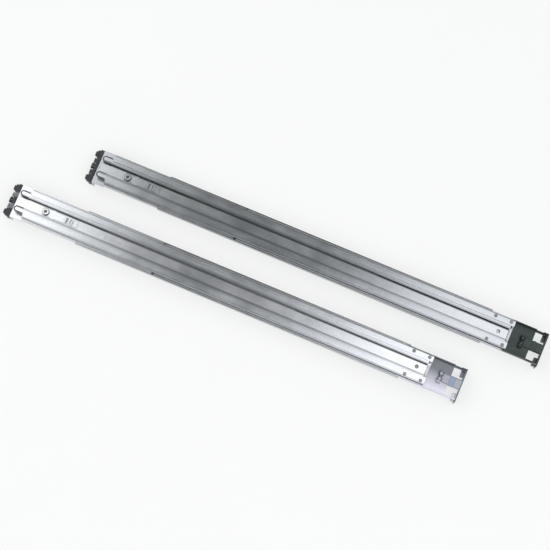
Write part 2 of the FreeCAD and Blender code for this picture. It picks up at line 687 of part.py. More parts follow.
def front_latch_spring(name):
    """Leaf spring under the front web that presses the claws down."""
    start = f"{LATCH_X} - pivot_radius - hub_wall - 2 * spring_wire"
    return leaf(name, (start, f"{start} + latch_pivot"), "claw_width",
                ("flange_drop - spring_wire", "flange_drop"), "spring_wire",
                "flange_drop - pin_level - claw_sheet / 2 - swing_room / 2")


# ---- the telescoping rear bracket ---------------------------------------

def rear_bracket(name):
    """Channel with a guide slot, windows at its bend and the rear flange."""
    body = pressed_channel(
        f"{name}_press", open_channel(REAR_HALF, REAR_BASE, REAR_RIM, "bracket_wall"),
        REAR_START, f"{REAR_FACE} - {REAR_START}")
    round_bends(body, REAR_HALF, (REAR_BASE,))
    sketch = new_sketch(body, "YZ_Plane", REAR_FACE)
    draw_outline(sketch, rectangle(*span("flange_width / 2"), "0", REAR_WEB_TOP))
    flange = body.newObject("PartDesign::Pad", "Flange")
    flange.Profile = sketch
    bind(flange, Length="bracket_wall")
    guide = "(shoulder_radius + bracket_gap)"
    slot = rectangle(f"{REAR_START} + slot_margin", f"{SHOULDER_LAST} + {guide}", *span(guide))
    windows = [rectangle(WINDOW_START, WINDOW_END, low, high) for low, high in
               (("window_inner", "window_outer"), ("-window_outer", "-window_inner"))]
    tooth_slot = rectangle(f"{RAIL_LENGTH} - tooth_place - tooth_length",
                           f"{RAIL_LENGTH} - tooth_place + 2 * tooth_length",
                           *span("tongue_width / 4 + 2 * bracket_gap"))
    cut_down(body, REAR_WEB_TOP, "2 * bracket_wall", outlines=[slot] + windows + [tooth_slot])
    notch_end = f"({WINDOW_START} + notch_length)"
    notches = [rectangle(WINDOW_START, notch_end, low, high) for low, high in
               ((f"{REAR_INSIDE} - bracket_gap", f"{REAR_HALF} + bracket_gap"),
                (f"-({REAR_HALF} + bracket_gap)", f"bracket_gap - {REAR_INSIDE}"))]
    cut_down(body, REAR_RIM, "notch_depth", outlines=notches)
    cut_forward(body, RAIL_LENGTH, "2 * bracket_wall",
                centres=[("0", "pin_level"), ("eia_step", "pin_level"),
                         ("-eia_step", "pin_level")], radius="post_hole")
    ears = []
    for low, high in ((TONGUE_EAR, f"{TONGUE_EAR} + ear_sheet"),
                      (f"-({TONGUE_EAR} + ear_sheet)", f"-({TONGUE_EAR})")):
        ears.append(block((f"{TONGUE_X} - 2 * pivot_radius", f"{TONGUE_X} + 2 * pivot_radius"),
                          (low, high), (REAR_WEB_TOP, f"{TONGUE_LEVEL} + 2 * pivot_radius")))
    pin = rod("y", "pivot_radius", f"2 * ({TONGUE_EAR} + 2 * ear_sheet)", TONGUE_X,
              f"-({TONGUE_EAR} + 2 * ear_sheet)", TONGUE_LEVEL)
    bored = cut(f"{name}_bored", fused(f"{name}_ears", [body] + ears), pin)
    bands = at_bends((FULL_RUN[0], REAR_FACE), REAR_INSIDE, (BELOW, REAR_WEB_TOP),
                     (REAR_WEB_TOP, ABOVE))
    bands.append(((REAR_FACE, FULL_RUN[1]), span("flange_width"), (BELOW, ABOVE)))
    return divided(name, bored, bands)


def rear_nuts(name):
    """Square weld nuts behind the rear flange's two outer holes."""
    nuts = []
    for centre in both_sides("eia_step"):
        nut = block((f"{REAR_FACE} - nut_height", REAR_FACE),
                    (f"{centre} - nut_side / 2", f"{centre} + nut_side / 2"),
                    ("pin_level - nut_side / 2", "pin_level + nut_side / 2"))
        hole = rod("x", "post_hole", "3 * nut_height", f"{REAR_FACE} - 2 * nut_height", centre,
                   "pin_level")
        nuts.append(cut(f"{name}_one", nut, hole))
    return grouped(name, nuts)


def rear_latch(name):
    """Spring tongue over the bridge between the windows, with an oval finger pad."""
    tip = f"{TONGUE_X} + tongue_length"
    top = f"({TONGUE_BASE} + tongue_sheet)"
    plate = block((f"{TONGUE_X} - tongue_front", tip), span("tongue_width / 2"), (TONGUE_BASE, top))
    tooth_start = f"({RAIL_LENGTH} - tooth_place)"
    tooth = block((tooth_start, f"{tooth_start} + tooth_length"), span("tongue_width / 4"),
                  (f"{TONGUE_BASE} - tooth_depth", TONGUE_BASE))
    pad_x = f"({WINDOW_START} + pad_width / 2)"
    reach = "((pad_length - pad_width) / 2)"
    ends = [rod("z", "pad_width / 2", "pad_rise + tongue_sheet", pad_x, side, TONGUE_BASE)
            for side in both_sides(reach)]
    middle = block((f"{pad_x} - pad_width / 2", f"{pad_x} + pad_width / 2"), span(reach),
                   (TONGUE_BASE, f"{top} + pad_rise"))
    outside, bore = hub(TONGUE_X, TONGUE_LEVEL, "tongue_width / 2", "tongue_width")
    gap = block((f"{TONGUE_X} - tongue_front - hub_wall", f"{TONGUE_X} + 2 * hub_wall"),
                span("tongue_width / 5"), (f"{top}", f"{TONGUE_LEVEL} + 2 * hub_wall"))
    solid = fused(f"{name}_solid", [plate, tooth, middle, outside] + ends)
    return cut(name, solid, fused(f"{name}_openings", [bore, gap]))


def torsion_spring(name, coil_radius, axis, x, y, z):
    """Closely wound torsion spring about a pivot, centred on a point."""
    centre = {"x": x, "y": y, "z": z}
    coils = []
    turns = int(number("spring_turns"))
    for index in range(turns):
        shift = f"({index} - (spring_turns - 1) / 2) * spring_wire"
        coil = doc.addObject("Part::Torus", "Coil")
        coil.Placement = FreeCAD.Placement(FreeCAD.Vector(), TURNED[axis])
        bind(coil, Radius1=coil_radius, Radius2="spring_wire / 2")
        at = dict(centre)
        at[axis] = f"{centre[axis]} + {shift}"
        coils.append(place(coil, at["x"], at["y"], at["z"]))
    return grouped(name, coils)


def rear_latch_spring(name):
    return torsion_spring(name, "pivot_radius + spring_wire / 2", "y", TONGUE_X, "0", TONGUE_LEVEL)


# ---- the sliding members ------------------------------------------------

def corner_tool(x, y, side, radius, level, rise):
    """What is left of a square when its inner quarter circle is taken out."""
    y_centre = f"{y} - {side} * {radius}"
    low, high = (y_centre, y) if side > 0 else (y, y_centre)
    square = block((x, f"{x} + {radius}"), (low, high), (level, f"{level} + {rise}"))
    quarter = rod("z", radius, rise, f"{x} + {radius}", y_centre, level)
    return cut("Corner", square, quarter)


def intermediate_member(name):
    """Inner C channel that runs out of the outer member on its balls."""
    body = pressed_channel(
        f"{name}_press", lipped_channel(MID_HALF, MID_BASE, MID_TOP, "mid_wall", "mid_lip"),
        MID_START, f"{MID_END} - {MID_START}")
    round_bends(body, MID_HALF, (MID_BASE, MID_TOP))
    cut_down(body, MID_FLOOR, "2 * mid_wall", centres=[(SIGHT_HOLE, "0")],
             radius="sight_radius")
    cut_down(body, MID_FLOOR, "2 * mid_wall", centres=[(LEVER_X, "0")],
             radius="tube_outer")
    tools = []
    for side in (1, -1):
        tools.append(corner_tool(MID_START, f"{side} * {MID_HALF}", side, "mid_corner",
                                 MID_BASE, "outer_height"))
        tools.append(corner_tool(MID_START, f"{side} * ({MID_HALF} - mid_lip)", -side,
                                 "mid_corner", MID_CEILING, "2 * mid_wall"))
    rounded = cut(f"{name}_rounded", body, grouped(f"{name}_corners", tools))
    return divided(name, rounded, at_bends(FULL_RUN, MID_INSIDE, (BELOW, MID_FLOOR),
                                           (MID_CEILING, ABOVE)))


def cage(name, half, base, rim, start, length, balls):
    """Thin channel pierced with a row of ball pockets in each side."""
    body = pressed_channel(f"{name}_strip", open_channel(half, base, rim, "cage_wall"), start, length)
    radius, level, pitch = balls
    pockets = []
    for x in ball_stations(start, length, pitch):
        pockets.append(rod("y", f"{radius} - ball_grip", f"2 * {half} + ball_size", x,
                           f"-({half}) - ball_size / 2", level))
    pierced = cut(f"{name}_pierced", body, grouped(f"{name}_pockets", pockets))
    return divided(name, pierced, at_bends(FULL_RUN, f"({half} - cage_wall)",
                                           (BELOW, f"{base} + cage_wall")))


def ball_stations(start, length, pitch):
    """Evenly spaced stations that fill a cage and leave half a pitch at each end."""
    count = int(number(length) / number(pitch))
    return [f"{start} + {length} / {count} * {index + 0.5}" for index in range(count)]


def balls(name, start, length, pitch, radius, race, level):
    spheres = []
    for x in ball_stations(start, length, pitch):
        for y in both_sides(race):
            item = doc.addObject("Part::Sphere", "Ball")
            bind(item, Radius=radius)
            spheres.append(place(item, x, y, level))
    return grouped(name, spheres)


def outer_ball_cage(name):
    return cage(name, f"({RACE} + cage_wall / 2)", CAGE_BASE, f"({OUTER_CEILING} - slide_gap)",
                CAGE_START, "cage_length", ("ball_size / 2", BALL_LEVEL, "ball_pitch"))


def outer_balls(name):
    return balls(name, CAGE_START, "cage_length", "ball_pitch", "ball_size / 2", RACE, BALL_LEVEL)


def inner_ball_cage(name):
    return cage(name, f"({INNER_RACE} + cage_wall / 2)", INNER_BASE, INNER_RIM, INNER_START,
                "inner_length", ("inner_ball / 2", INNER_BALL_LEVEL, "ball_pitch"))


def inner_balls(name):
    return balls(name, INNER_START, "inner_length", "ball_pitch", "inner_ball / 2", INNER_RACE,
                 INNER_BALL_LEVEL)


def lip_caps(name):
    """Nylon guides inside the intermediate member's rounded lip ends."""
    start = f"({MID_START} + mid_corner)"
    caps = []
    for low, high in ((f"{MID_HALF} - mid_lip + cap_gap", MID_INSIDE),
                      (f"-({MID_INSIDE})", f"-({MID_HALF} - mid_lip + cap_gap)")):
        caps.append(block((start, f"{start} + cap_length"), (low, high),
                          (MID_FLOOR, f"{MID_CEILING} - cap_gap")))
    return grouped(name, caps)


def lock_lever(name):
    """Flat lever on the intermediate member's web, with ears and finger grips."""
    body = doc.addObject("PartDesign::Body", f"{name}_strip")
    sketch = new_sketch(body, "XY_Plane", INNER_BASE)
    half = "lever_width / 2"
    front = f"({LEVER_X} - lever_front)"
    back = LEVER_END
    middle = f"({LEVER_X} + lever_ear)"
    ear = (f"({middle} - ear_length / 2)", f"({middle} + ear_length / 2)")
    draw_outline(sketch, [
        (front, f"-{half}"), (ear[0], f"-{half}"), (ear[0], "-ear_reach"), (ear[1], "-ear_reach"),
        (ear[1], f"-{half}"), (back, f"-{half}"), (back, half), (ear[1], half),
        (ear[1], "ear_reach"), (ear[0], "ear_reach"), (ear[0], half), (front, half)])
    plate = body.newObject("PartDesign::Pad", "Plate")
    plate.Profile = sketch
    bind(plate, Length="lever_sheet")
    cut_down(body, LEVER_TOP, "2 * lever_sheet", centres=[(LEVER_X, "0")],
             radius="tube_outer + pivot_play")
    grips = []
    slots = []
    for index in range(2):
        x = f"({LEVER_X} + grip_first + {index} * grip_step)"
        reach = "(lever_width / 2 - lever_sheet)"
        if index == 0:
            slot_x = (x, f"{x} + grip_slot")
            grip_x = (f"{x} - grip_sheet", x)
        else:
            slot_x = (f"{x} - grip_slot", x)
            grip_x = (x, f"{x} + grip_sheet")
        slots.append(rectangle(*slot_x, *span(reach)))
        grips.append(block(grip_x, span(reach), (INNER_BASE, f"{LEVER_TOP} + grip_rise")))
    cut_down(body, LEVER_TOP, "2 * lever_sheet", outlines=slots)
    return fused(name, [body] + grips)


def lock_lever_rivet(name):
    """Hollow rivet: the lever turns on it under its head."""
    top = f"({LEVER_TOP} + slide_gap + spring_turns * spring_wire)"
    shank = rod("z", "tube_outer", f"{top} - {MID_BASE}", LEVER_X, "0", MID_BASE)
    head = cone("z", "tube_head", "tube_taper * tube_head", "tube_head_rise", LEVER_X, "0", top)
    bore = rod("z", "tube_inner", "2 * outer_height", LEVER_X, "0", OUTER_BASE)
    return cut(name, fused(f"{name}_tube", [shank, head]), bore)


def lock_lever_spring(name):
    """Torsion spring wound round the hollow rivet, between lever and head."""
    middle = f"{LEVER_TOP} + slide_gap + spring_turns * spring_wire / 2"
    return torsion_spring(name, "tube_outer + spring_wire / 2", "z", LEVER_X, "0", middle)


# ---- the pair -----------------------------------------------------------

SUB_PARTS = {
    "outer_member": outer_member,
    "outer_channel": outer_channel,
    "front_bracket": front_bracket,
    "front_pin_block": front_pin_block,
    "front_screw_insert": front_screw_insert,
    "front_latch": front_latch,
    "front_latch_pivot": lambda name: pivot(name, LATCH_X, "pin_level", EAR_INNER),
    "front_latch_spring": front_latch_spring,
    "bracket_rivets": bracket_rivets,
    "shoulder_rivets": shoulder_rivets,
    "front_stops": lambda name: race_blocks(name, FRONT_STOP, "stop_length"),
    "rear_stops": lambda name: race_blocks(name, REAR_STOP, "stop_block", stop_rivet_places()),
    "stop_rivets": stop_rivets,
    "rear_bumper": rear_bumper,
    "rear_bracket": rear_bracket,
    "rear_nuts": rear_nuts,
    "rear_latch": rear_latch,
    "rear_latch_pivot": lambda name: pivot(name, TONGUE_X, TONGUE_LEVEL, TONGUE_EAR),
    "rear_latch_spring": rear_latch_spring,
    "intermediate_member": intermediate_member,
    "outer_ball_cage": outer_ball_cage,
    "outer_balls": outer_balls,
    "inner_ball_cage": inner_ball_cage,
    "inner_balls": inner_balls,
    "lip_caps": lip_caps,
    "lock_lever": lock_lever,
    "lock_lever_rivet": lock_lever_rivet,
    "lock_lever_spring": lock_lever_spring,
}
# Where each rail's own frame stands in the frame of the pair.
RAILS = {
    "left": (f"(rail_stagger - {RAIL_LENGTH}) / 2", "rail_spacing / 2"),
    "right": (f"-(rail_stagger + {RAIL_LENGTH}) / 2", "-rail_spacing / 2"),
}

nodes = []
for rail, (rail_x, rail_y) in RAILS.items():
    for part_name, make in SUB_PARTS.items():
        node = make(f"{rail}_{part_name}")
        node.Label = f"{rail}_{part_name}"
        nodes.append(place(node, rail_x, rail_y))
doc.recompute()

for item in doc.Objects:
    if "Invalid" in item.State or "Error" in item.State:
        raise RuntimeError(f"{item.Label} did not build: {item.State}")
for node in nodes:
    if node.Shape.isNull() or not node.Shape.isValid():
        raise RuntimeError(f"{node.Label} has no valid shape")

os.makedirs("parts", exist_ok=True)
for node in nodes:
    node.Shape.exportStep(f"parts/{node.Label}.step")
print(f"{len(nodes)} sub-parts written")
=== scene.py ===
import json
import math

import bmesh
import bpy
from mathutils import Matrix, Vector


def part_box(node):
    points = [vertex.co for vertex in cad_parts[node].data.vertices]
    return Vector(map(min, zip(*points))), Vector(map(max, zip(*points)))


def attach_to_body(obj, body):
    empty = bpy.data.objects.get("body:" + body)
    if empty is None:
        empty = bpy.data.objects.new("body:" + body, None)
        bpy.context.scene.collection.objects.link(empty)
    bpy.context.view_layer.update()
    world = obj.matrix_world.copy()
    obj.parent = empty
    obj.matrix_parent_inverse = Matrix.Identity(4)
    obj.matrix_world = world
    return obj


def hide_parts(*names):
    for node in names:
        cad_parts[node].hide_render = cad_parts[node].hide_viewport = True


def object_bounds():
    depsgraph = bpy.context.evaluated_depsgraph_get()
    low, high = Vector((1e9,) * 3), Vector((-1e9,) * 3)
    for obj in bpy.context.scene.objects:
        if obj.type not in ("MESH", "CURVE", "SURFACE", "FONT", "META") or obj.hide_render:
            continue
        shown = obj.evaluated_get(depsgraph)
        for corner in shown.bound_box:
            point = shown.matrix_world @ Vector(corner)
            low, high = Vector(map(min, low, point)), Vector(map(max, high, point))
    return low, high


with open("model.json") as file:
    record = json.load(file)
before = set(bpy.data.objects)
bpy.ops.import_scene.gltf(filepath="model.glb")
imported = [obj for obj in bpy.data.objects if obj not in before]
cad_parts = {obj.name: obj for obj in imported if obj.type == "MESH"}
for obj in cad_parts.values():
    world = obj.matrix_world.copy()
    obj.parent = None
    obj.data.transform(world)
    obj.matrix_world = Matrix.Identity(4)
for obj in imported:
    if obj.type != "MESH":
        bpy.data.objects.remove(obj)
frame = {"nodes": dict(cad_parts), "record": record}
cad_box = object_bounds()
nodes = frame["nodes"]
slots = {entry["node"]: entry["material_slot"] for entry in frame["record"]["subparts"]}
RAILS = ("left", "right")
RAIL_CENTRE = (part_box("left_outer_member")[0][1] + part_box("left_outer_member")[1][1]) / 2


# ---- materials ----------------------------------------------------------

# Colour of the painted shade, and how far the painted shade in gaps and corners reaches.
SHADE_COLOUR = (0.045, 0.05, 0.055)
SHADE_REACH = 0.007
ROUGH_SPREAD = 0.05
STREAK_RELIEF = 0.000012
# Where a band across a rail starts and is full, or starts to fade and has gone, in metres
# from the rail's centre line.
# Painted shade along the ball tracks, darkest beside the lips' inner edges.
TRACK_SHADE_START, TRACK_SHADE_FADE = (0.0049, 0.0060), (0.0070, 0.0104)
# Painted light between the front pins, where light shows through the gap.
PIN_GAP_LIGHT_START, PIN_GAP_LIGHT_FADE = (0.0040, 0.0052), (0.0100, 0.0112)


class Graph:
    """A small helper that adds and joins shader nodes."""

    def __init__(self, name):
        self.material = bpy.data.materials.new(name)
        self.material.use_nodes = True
        self.tree = self.material.node_tree
        self.tree.nodes.clear()
        self.output = self.add("ShaderNodeOutputMaterial")
        self.shader = self.add("ShaderNodeBsdfPrincipled")
        self.join(self.shader.outputs["BSDF"], self.output.inputs["Surface"])
        self.place = self.add("ShaderNodeTexCoord").outputs["Object"]

    def add(self, kind, **values):
        node = self.tree.nodes.new(kind)
        for key, value in values.items():
            setattr(node, key, value)
        return node

    def join(self, source, target):
        self.tree.links.new(source, target)

    def noise(self, scale, detail=3.0, rough=0.55, stretch=(1, 1, 1)):
        """Noise from 0 to 1, in features per metre, pulled out along an axis."""
        mapping = self.add("ShaderNodeMapping")
        mapping.inputs["Scale"].default_value = stretch
        self.join(self.place, mapping.inputs["Vector"])
        texture = self.add("ShaderNodeTexNoise")
        texture.inputs["Scale"].default_value = scale
        texture.inputs["Detail"].default_value = detail
        texture.inputs["Roughness"].default_value = rough
        self.join(mapping.outputs["Vector"], texture.inputs["Vector"])
        return texture.outputs["Fac"]

    def cells(self, scale):
        """Flat cells with a value of their own, like zinc spangle."""
        texture = self.add("ShaderNodeTexVoronoi")
        texture.inputs["Scale"].default_value = scale
        self.join(self.place, texture.inputs["Vector"])
        split = self.add("ShaderNodeSeparateColor")
        self.join(texture.outputs["Color"], split.inputs["Color"])
        return split.outputs["Red"]

    def remap(self, source, low, high, start=0.3, end=0.7):
        node = self.add("ShaderNodeMapRange")
        for key, value in (("From Min", start), ("From Max", end), ("To Min", low),
                           ("To Max", high)):
            node.inputs[key].default_value = value
        self.join(source, node.inputs["Value"])
        return node.outputs["Result"]

    def math(self, operation, a, b):
        node = self.add("ShaderNodeMath", operation=operation)
        for index, item in enumerate((a, b)):
            if isinstance(item, (int, float)):
                node.inputs[index].default_value = item
            else:
                self.join(item, node.inputs[index])
        return node.outputs["Value"]

    def blend(self, factor, first, second):
        node = self.add("ShaderNodeMix", data_type="RGBA")
        self.join(factor, node.inputs["Factor"])
        for key, item in (("A", first), ("B", second)):
            socket = [s for s in node.inputs if s.name == key and s.type == "RGBA"][0]
            if isinstance(item, tuple):
                socket.default_value = item + (1,)
            else:
                self.join(item, socket)
        return [s for s in node.outputs if s.type == "RGBA"][0]

    def crevices(self, reach):
        """0 deep in a corner or a gap, 1 in the open."""
        node = self.add("ShaderNodeAmbientOcclusion")
        node.samples = 8
        node.inputs["Distance"].default_value = reach
        return node.outputs["AO"]

    def along(self, axis):
        """Where a point lies along one axis of the model, in metres."""
        split = self.add("ShaderNodeSeparateXYZ")
        self.join(self.place, split.inputs["Vector"])
        return split.outputs[axis]

    def band(self, start, fade):
        """1 within a band on each side of a rail's centre line, 0 outside it."""
        across = self.math("ABSOLUTE", self.along("Y"), 0)
        distance = self.math("ABSOLUTE", self.math("SUBTRACT", across, RAIL_CENTRE), 0)
        return self.math("MULTIPLY", self.remap(distance, 0, 1, *start),
                         self.remap(distance, 1, 0, *fade))

    def bump(self, height, distance, base=None):
        node = self.add("ShaderNodeBump")
        node.inputs["Distance"].default_value = distance
        node.inputs["Strength"].default_value = 1.0
        self.join(height, node.inputs["Height"])
        if base is not None:
            self.join(base, node.inputs["Normal"])
        return node.outputs["Normal"]


def plated_steel(name, light, dark, rough, tracks=0.0, soil=0.7, others=()):
    """Zinc-plated strip: rolling streaks, faint spangle, dull patches, and painted shade in the
    gaps and along the ball tracks.

    Each other band of colour is an axis, where it starts, where it is full, its light and its dark
    colour; most of them paint light and shade. It takes over along that axis."""
    g = Graph(name)
    streaks = g.noise(1.0, 2.0, 0.5, (14, 1300, 1300))
    fine = g.noise(1.0, 2.0, 0.6, (60, 3800, 3800))
    patches = g.noise(34.0, 5.0, 0.6)
    broad = g.noise(7.0, 2.0, 0.5)
    spangle = g.cells(260.0)
    tone = g.math("ADD", g.math("MULTIPLY", streaks, 0.55), g.math("MULTIPLY", patches, 0.45))
    tone = g.math("ADD", tone, g.math("MULTIPLY", g.math("SUBTRACT", spangle, 0.5), 0.10))
    tone = g.math("ADD", tone, g.math("MULTIPLY", g.math("SUBTRACT", broad, 0.5), 0.4))
    shade = g.remap(tone, 0, 1, 0.25, 0.75)
    colour = g.blend(shade, dark, light)
    for axis, start, full, other_light, other_dark in others:
        taken = g.remap(g.along(axis), 0, 1, start, full)
        colour = g.blend(taken, colour, g.blend(shade, other_dark, other_light))
    # Painted shade: darker in corners and gaps, found by an occlusion mask, and varied a little by
    # the patches.
    painted_shade = g.remap(g.crevices(SHADE_REACH), soil, 0, 0.25, 0.8)
    # Painted shade along the ball tracks beside the lips, where shade falls under them.
    if tracks:
        track_shade = g.math("MULTIPLY", g.band(TRACK_SHADE_START, TRACK_SHADE_FADE), tracks)
        painted_shade = g.math("MAXIMUM", painted_shade, track_shade)
    painted_shade = g.math("MULTIPLY", painted_shade, g.remap(patches, 0.75, 1.0))
    g.join(g.blend(painted_shade, colour, SHADE_COLOUR), g.shader.inputs["Base Color"])
    g.shader.inputs["Metallic"].default_value = 1.0
    uneven = g.math("ADD", g.math("MULTIPLY", patches, 0.6), g.math("MULTIPLY", fine, 0.4))
    g.join(g.remap(uneven, rough - ROUGH_SPREAD, rough + ROUGH_SPREAD),
           g.shader.inputs["Roughness"])
    normal = g.bump(streaks, STREAK_RELIEF)
    normal = g.bump(fine, STREAK_RELIEF / 3, normal)
    g.join(normal, g.shader.inputs["Normal"])
    return g.material


def turned_steel(name, light, dark, rough):
    """Small turned or headed steel pieces, with handling marks."""
    g = Graph(name)
    marks = g.noise(1400.0, 3.0, 0.6)
    patches = g.noise(220.0, 3.0, 0.6)
    g.join(g.blend(g.remap(patches, 0, 1), dark, light), g.shader.inputs["Base Color"])
    g.shader.inputs["Metallic"].default_value = 1.0
    g.join(g.remap(marks, rough - 0.06, rough + 0.08), g.shader.inputs["Roughness"])
    g.join(g.bump(marks, 0.00001), g.shader.inputs["Normal"])
    return g.material


def moulding(name, light, dark, rough, grain=0.00003, pin_gap_light=None):
    """Moulded plastic with a fine spark-eroded grain, with painted light between the pins if asked.
    """
    g = Graph(name)
    pits = g.noise(2600.0, 2.0, 0.6)
    scuffs = g.noise(160.0, 4.0, 0.65)
    colour = g.blend(g.remap(scuffs, 0, 1), dark, light)
    if pin_gap_light:
        colour = g.blend(g.band(PIN_GAP_LIGHT_START, PIN_GAP_LIGHT_FADE), colour, pin_gap_light)
    g.join(colour, g.shader.inputs["Base Color"])
    g.join(g.remap(scuffs, rough + 0.1, rough - 0.08), g.shader.inputs["Roughness"])
    g.join(g.bump(pits, grain), g.shader.inputs["Normal"])
    return g.material


def coated_steel(name, light, dark, rough, metal=0.6):
    """Blackened or painted steel that shows a little metal through scuffs."""
    g = Graph(name)
    scuffs = g.noise(300.0, 5.0, 0.7)
    broad = g.noise(60.0, 3.0, 0.5)
    tone = g.math("ADD", g.math("MULTIPLY", scuffs, 0.6), g.math("MULTIPLY", broad, 0.4))
    g.join(g.blend(g.remap(tone, 0, 1, 0.35, 0.7), dark, light), g.shader.inputs["Base Color"])
    g.shader.inputs["Metallic"].default_value = metal
    g.join(g.remap(broad, rough + 0.08, rough - 0.08), g.shader.inputs["Roughness"])
    g.join(g.bump(scuffs, 0.00002), g.shader.inputs["Normal"])
    return g.material


# ---- finishes and painted light and shade -------------------------------

# Light and dark colour, roughness, strength of the painted shade along the ball tracks, strength of
# the painted shade in the gaps.
PLATED = {
    "zinc_steel": ((0.70, 0.71, 0.74), (0.56, 0.58, 0.61), 0.21, 0.0, 0.35),
    "slide_steel": ((0.74, 0.75, 0.77), (0.60, 0.62, 0.65), 0.20, 0.7, 0.7),
    "bracket_steel": ((0.70, 0.71, 0.74), (0.54, 0.56, 0.60), 0.24, 0.0, 0.35),
    "cage_steel": ((0.70, 0.71, 0.73), (0.56, 0.57, 0.60), 0.21, 0.6, 0.7),
}
# Painted shade: the far (left) rail is painted darker than the near (right) one, so each rail's
# finishes are shaded copies of one another.
RAIL_SHADE = {"left": (0.75, 0.76, 0.76), "right": (1.0, 1.0, 1.0)}
# Painted shade along both edges of the outer members.
EDGE_SHADE = ((0.45, 0.46, 0.47), (0.34, 0.35, 0.36))
# Painted shade along the near rail's rear plate's +Y wall and its end flange.
WALL_SHADE = ((0.13, 0.15, 0.15), (0.07, 0.085, 0.085))
# Painted shade that turns the far rail's rear bracket almost black beyond its outer member.
FAR_END_SHADE = ((0.062, 0.074, 0.070), (0.034, 0.043, 0.040))
# Painted shade on the near rail's rear plate towards its +Y wall, then the painted light colour of
# the rest of that plate.
PLATE_SIDE_SHADE = ((0.17, 0.175, 0.19), (0.13, 0.135, 0.15))
LIT_PLATE = ((0.62, 0.62, 0.68), (0.50, 0.50, 0.56))
SLEEVED = ((0.54, 0.55, 0.57), (0.42, 0.44, 0.46))
TONGUE = ((0.32, 0.325, 0.355), (0.25, 0.255, 0.28))
PAD = ((0.24, 0.29, 0.36), (0.16, 0.20, 0.26))
TONGUE_HALF = 0.0053
HUB_ROOM = 0.003
MATERIALS = {
    "fastener_steel": turned_steel("fastener_steel", (0.62, 0.63, 0.65), (0.42, 0.43, 0.45), 0.30),
    "ball_steel": turned_steel("ball_steel", (0.86, 0.87, 0.89), (0.76, 0.77, 0.79), 0.10),
    # The near (right) latch steel is painted lighter than the far (left) one: copies of one finish
    # with painted light and painted shade.
    "right_latch_steel": coated_steel("latch_steel_right", (0.28, 0.29, 0.30),
                                      (0.14, 0.145, 0.15), 0.42),
    "left_latch_steel": coated_steel("latch_steel_left", (0.07, 0.075, 0.08),
                                     (0.03, 0.032, 0.035), 0.42),
    "spring_steel": turned_steel("spring_steel", (0.42, 0.42, 0.43), (0.28, 0.28, 0.29), 0.32),
    # The near moulding carries painted light between its pins, and the far one has none.
    "right_black_moulding": moulding("black_moulding_right", (0.030, 0.032, 0.036),
                                     (0.012, 0.013, 0.015), 0.5, pin_gap_light=(0.16, 0.165, 0.17)),
    "left_black_moulding": moulding("black_moulding_left", (0.030, 0.032, 0.036),
                                    (0.012, 0.013, 0.015), 0.5),
    "black_oxide": coated_steel("black_oxide", (0.10, 0.10, 0.11), (0.03, 0.03, 0.035), 0.35, 0.85),
    "nylon": moulding("nylon", (0.62, 0.63, 0.64), (0.50, 0.51, 0.52), 0.42, 0.00001),
    # Dark nylon as painted shade: the beads round the lip ends and the lip caps stand in for the
    # shade around the lips' ends.
    "dark_nylon": moulding("nylon_dark", (0.10, 0.105, 0.11), (0.05, 0.052, 0.055), 0.42, 0.00001),
    "dark_rivet": turned_steel("fastener_dark", (0.30, 0.30, 0.32), (0.16, 0.16, 0.17), 0.34),
}


def rail_shaded(colour, rail):
    return tuple(round(a * b, 4) for a, b in zip(colour, RAIL_SHADE[rail]))


def shaded_edges(rail):
    """Painted shade along both edges of each outer member."""
    (_, low, _), (_, high, _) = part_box(f"{rail}_outer_member")
    edge_shade = [rail_shaded(colour, rail) for colour in EDGE_SHADE]
    return (("Y", high - 0.0020, high - 0.0010, *edge_shade),
            ("Y", low + 0.0028, low + 0.0014, *edge_shade))


def bore_shaded_steel(rail):
    """The slide's own finish with stronger painted shade in the gaps, for the lever's hollow rivet.
    """
    light, dark, rough = PLATED["slide_steel"][:3]
    return plated_steel(f"soiled_steel_{rail}", rail_shaded(light, rail), rail_shaded(dark, rail), rough,
                        soil=1.2)


def left_rear_steel():
    """The far rail's rear bracket is painted almost black beyond the outer member's end, as painted
    shade.
    """
    rail_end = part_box("left_outer_member")[1][0]
    return plated_steel("rear_steel_left", *SLEEVED, 0.33, soil=0.1,
                        others=(("X", rail_end - 0.006, rail_end - 0.002, *FAR_END_SHADE),))


def right_rear_steel():
    """The near rail's rear plate is painted light and fades across its width into painted shade,
    and its far wall and flange carry painted shade.
    """
    flange_end, wall_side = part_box("right_rear_bracket")[1][:2]
    channel_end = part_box("right_outer_channel")[1][0]
    return plated_steel("rear_steel_right", *LIT_PLATE, 0.30, soil=0.1, others=(
        ("Y", wall_side - 0.039, wall_side - 0.014, *PLATE_SIDE_SHADE),
        ("Y", wall_side - 0.0036, wall_side - 0.0026, *WALL_SHADE),
        ("X", channel_end, channel_end - 0.006, *SLEEVED),
        ("X", flange_end - 0.0022, flange_end - 0.0014, *WALL_SHADE)))


def right_pad_steel():
    """The near rail's tongue is grey like the plate, with a blue-grey oval pad on it."""
    pad_level = max(vertex.co.z for vertex in nodes["right_rear_latch"].data.vertices
                    if abs(abs(vertex.co.y) - RAIL_CENTRE) > TONGUE_HALF)
    hub_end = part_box("right_rear_latch_pivot")[1][0] + HUB_ROOM
    return plated_steel("pad_steel_right", *TONGUE, 0.30, others=(
        ("Z", pad_level - 0.0007, pad_level - 0.0005, *PAD),
        ("X", hub_end, hub_end - 0.0005, *TONGUE)))


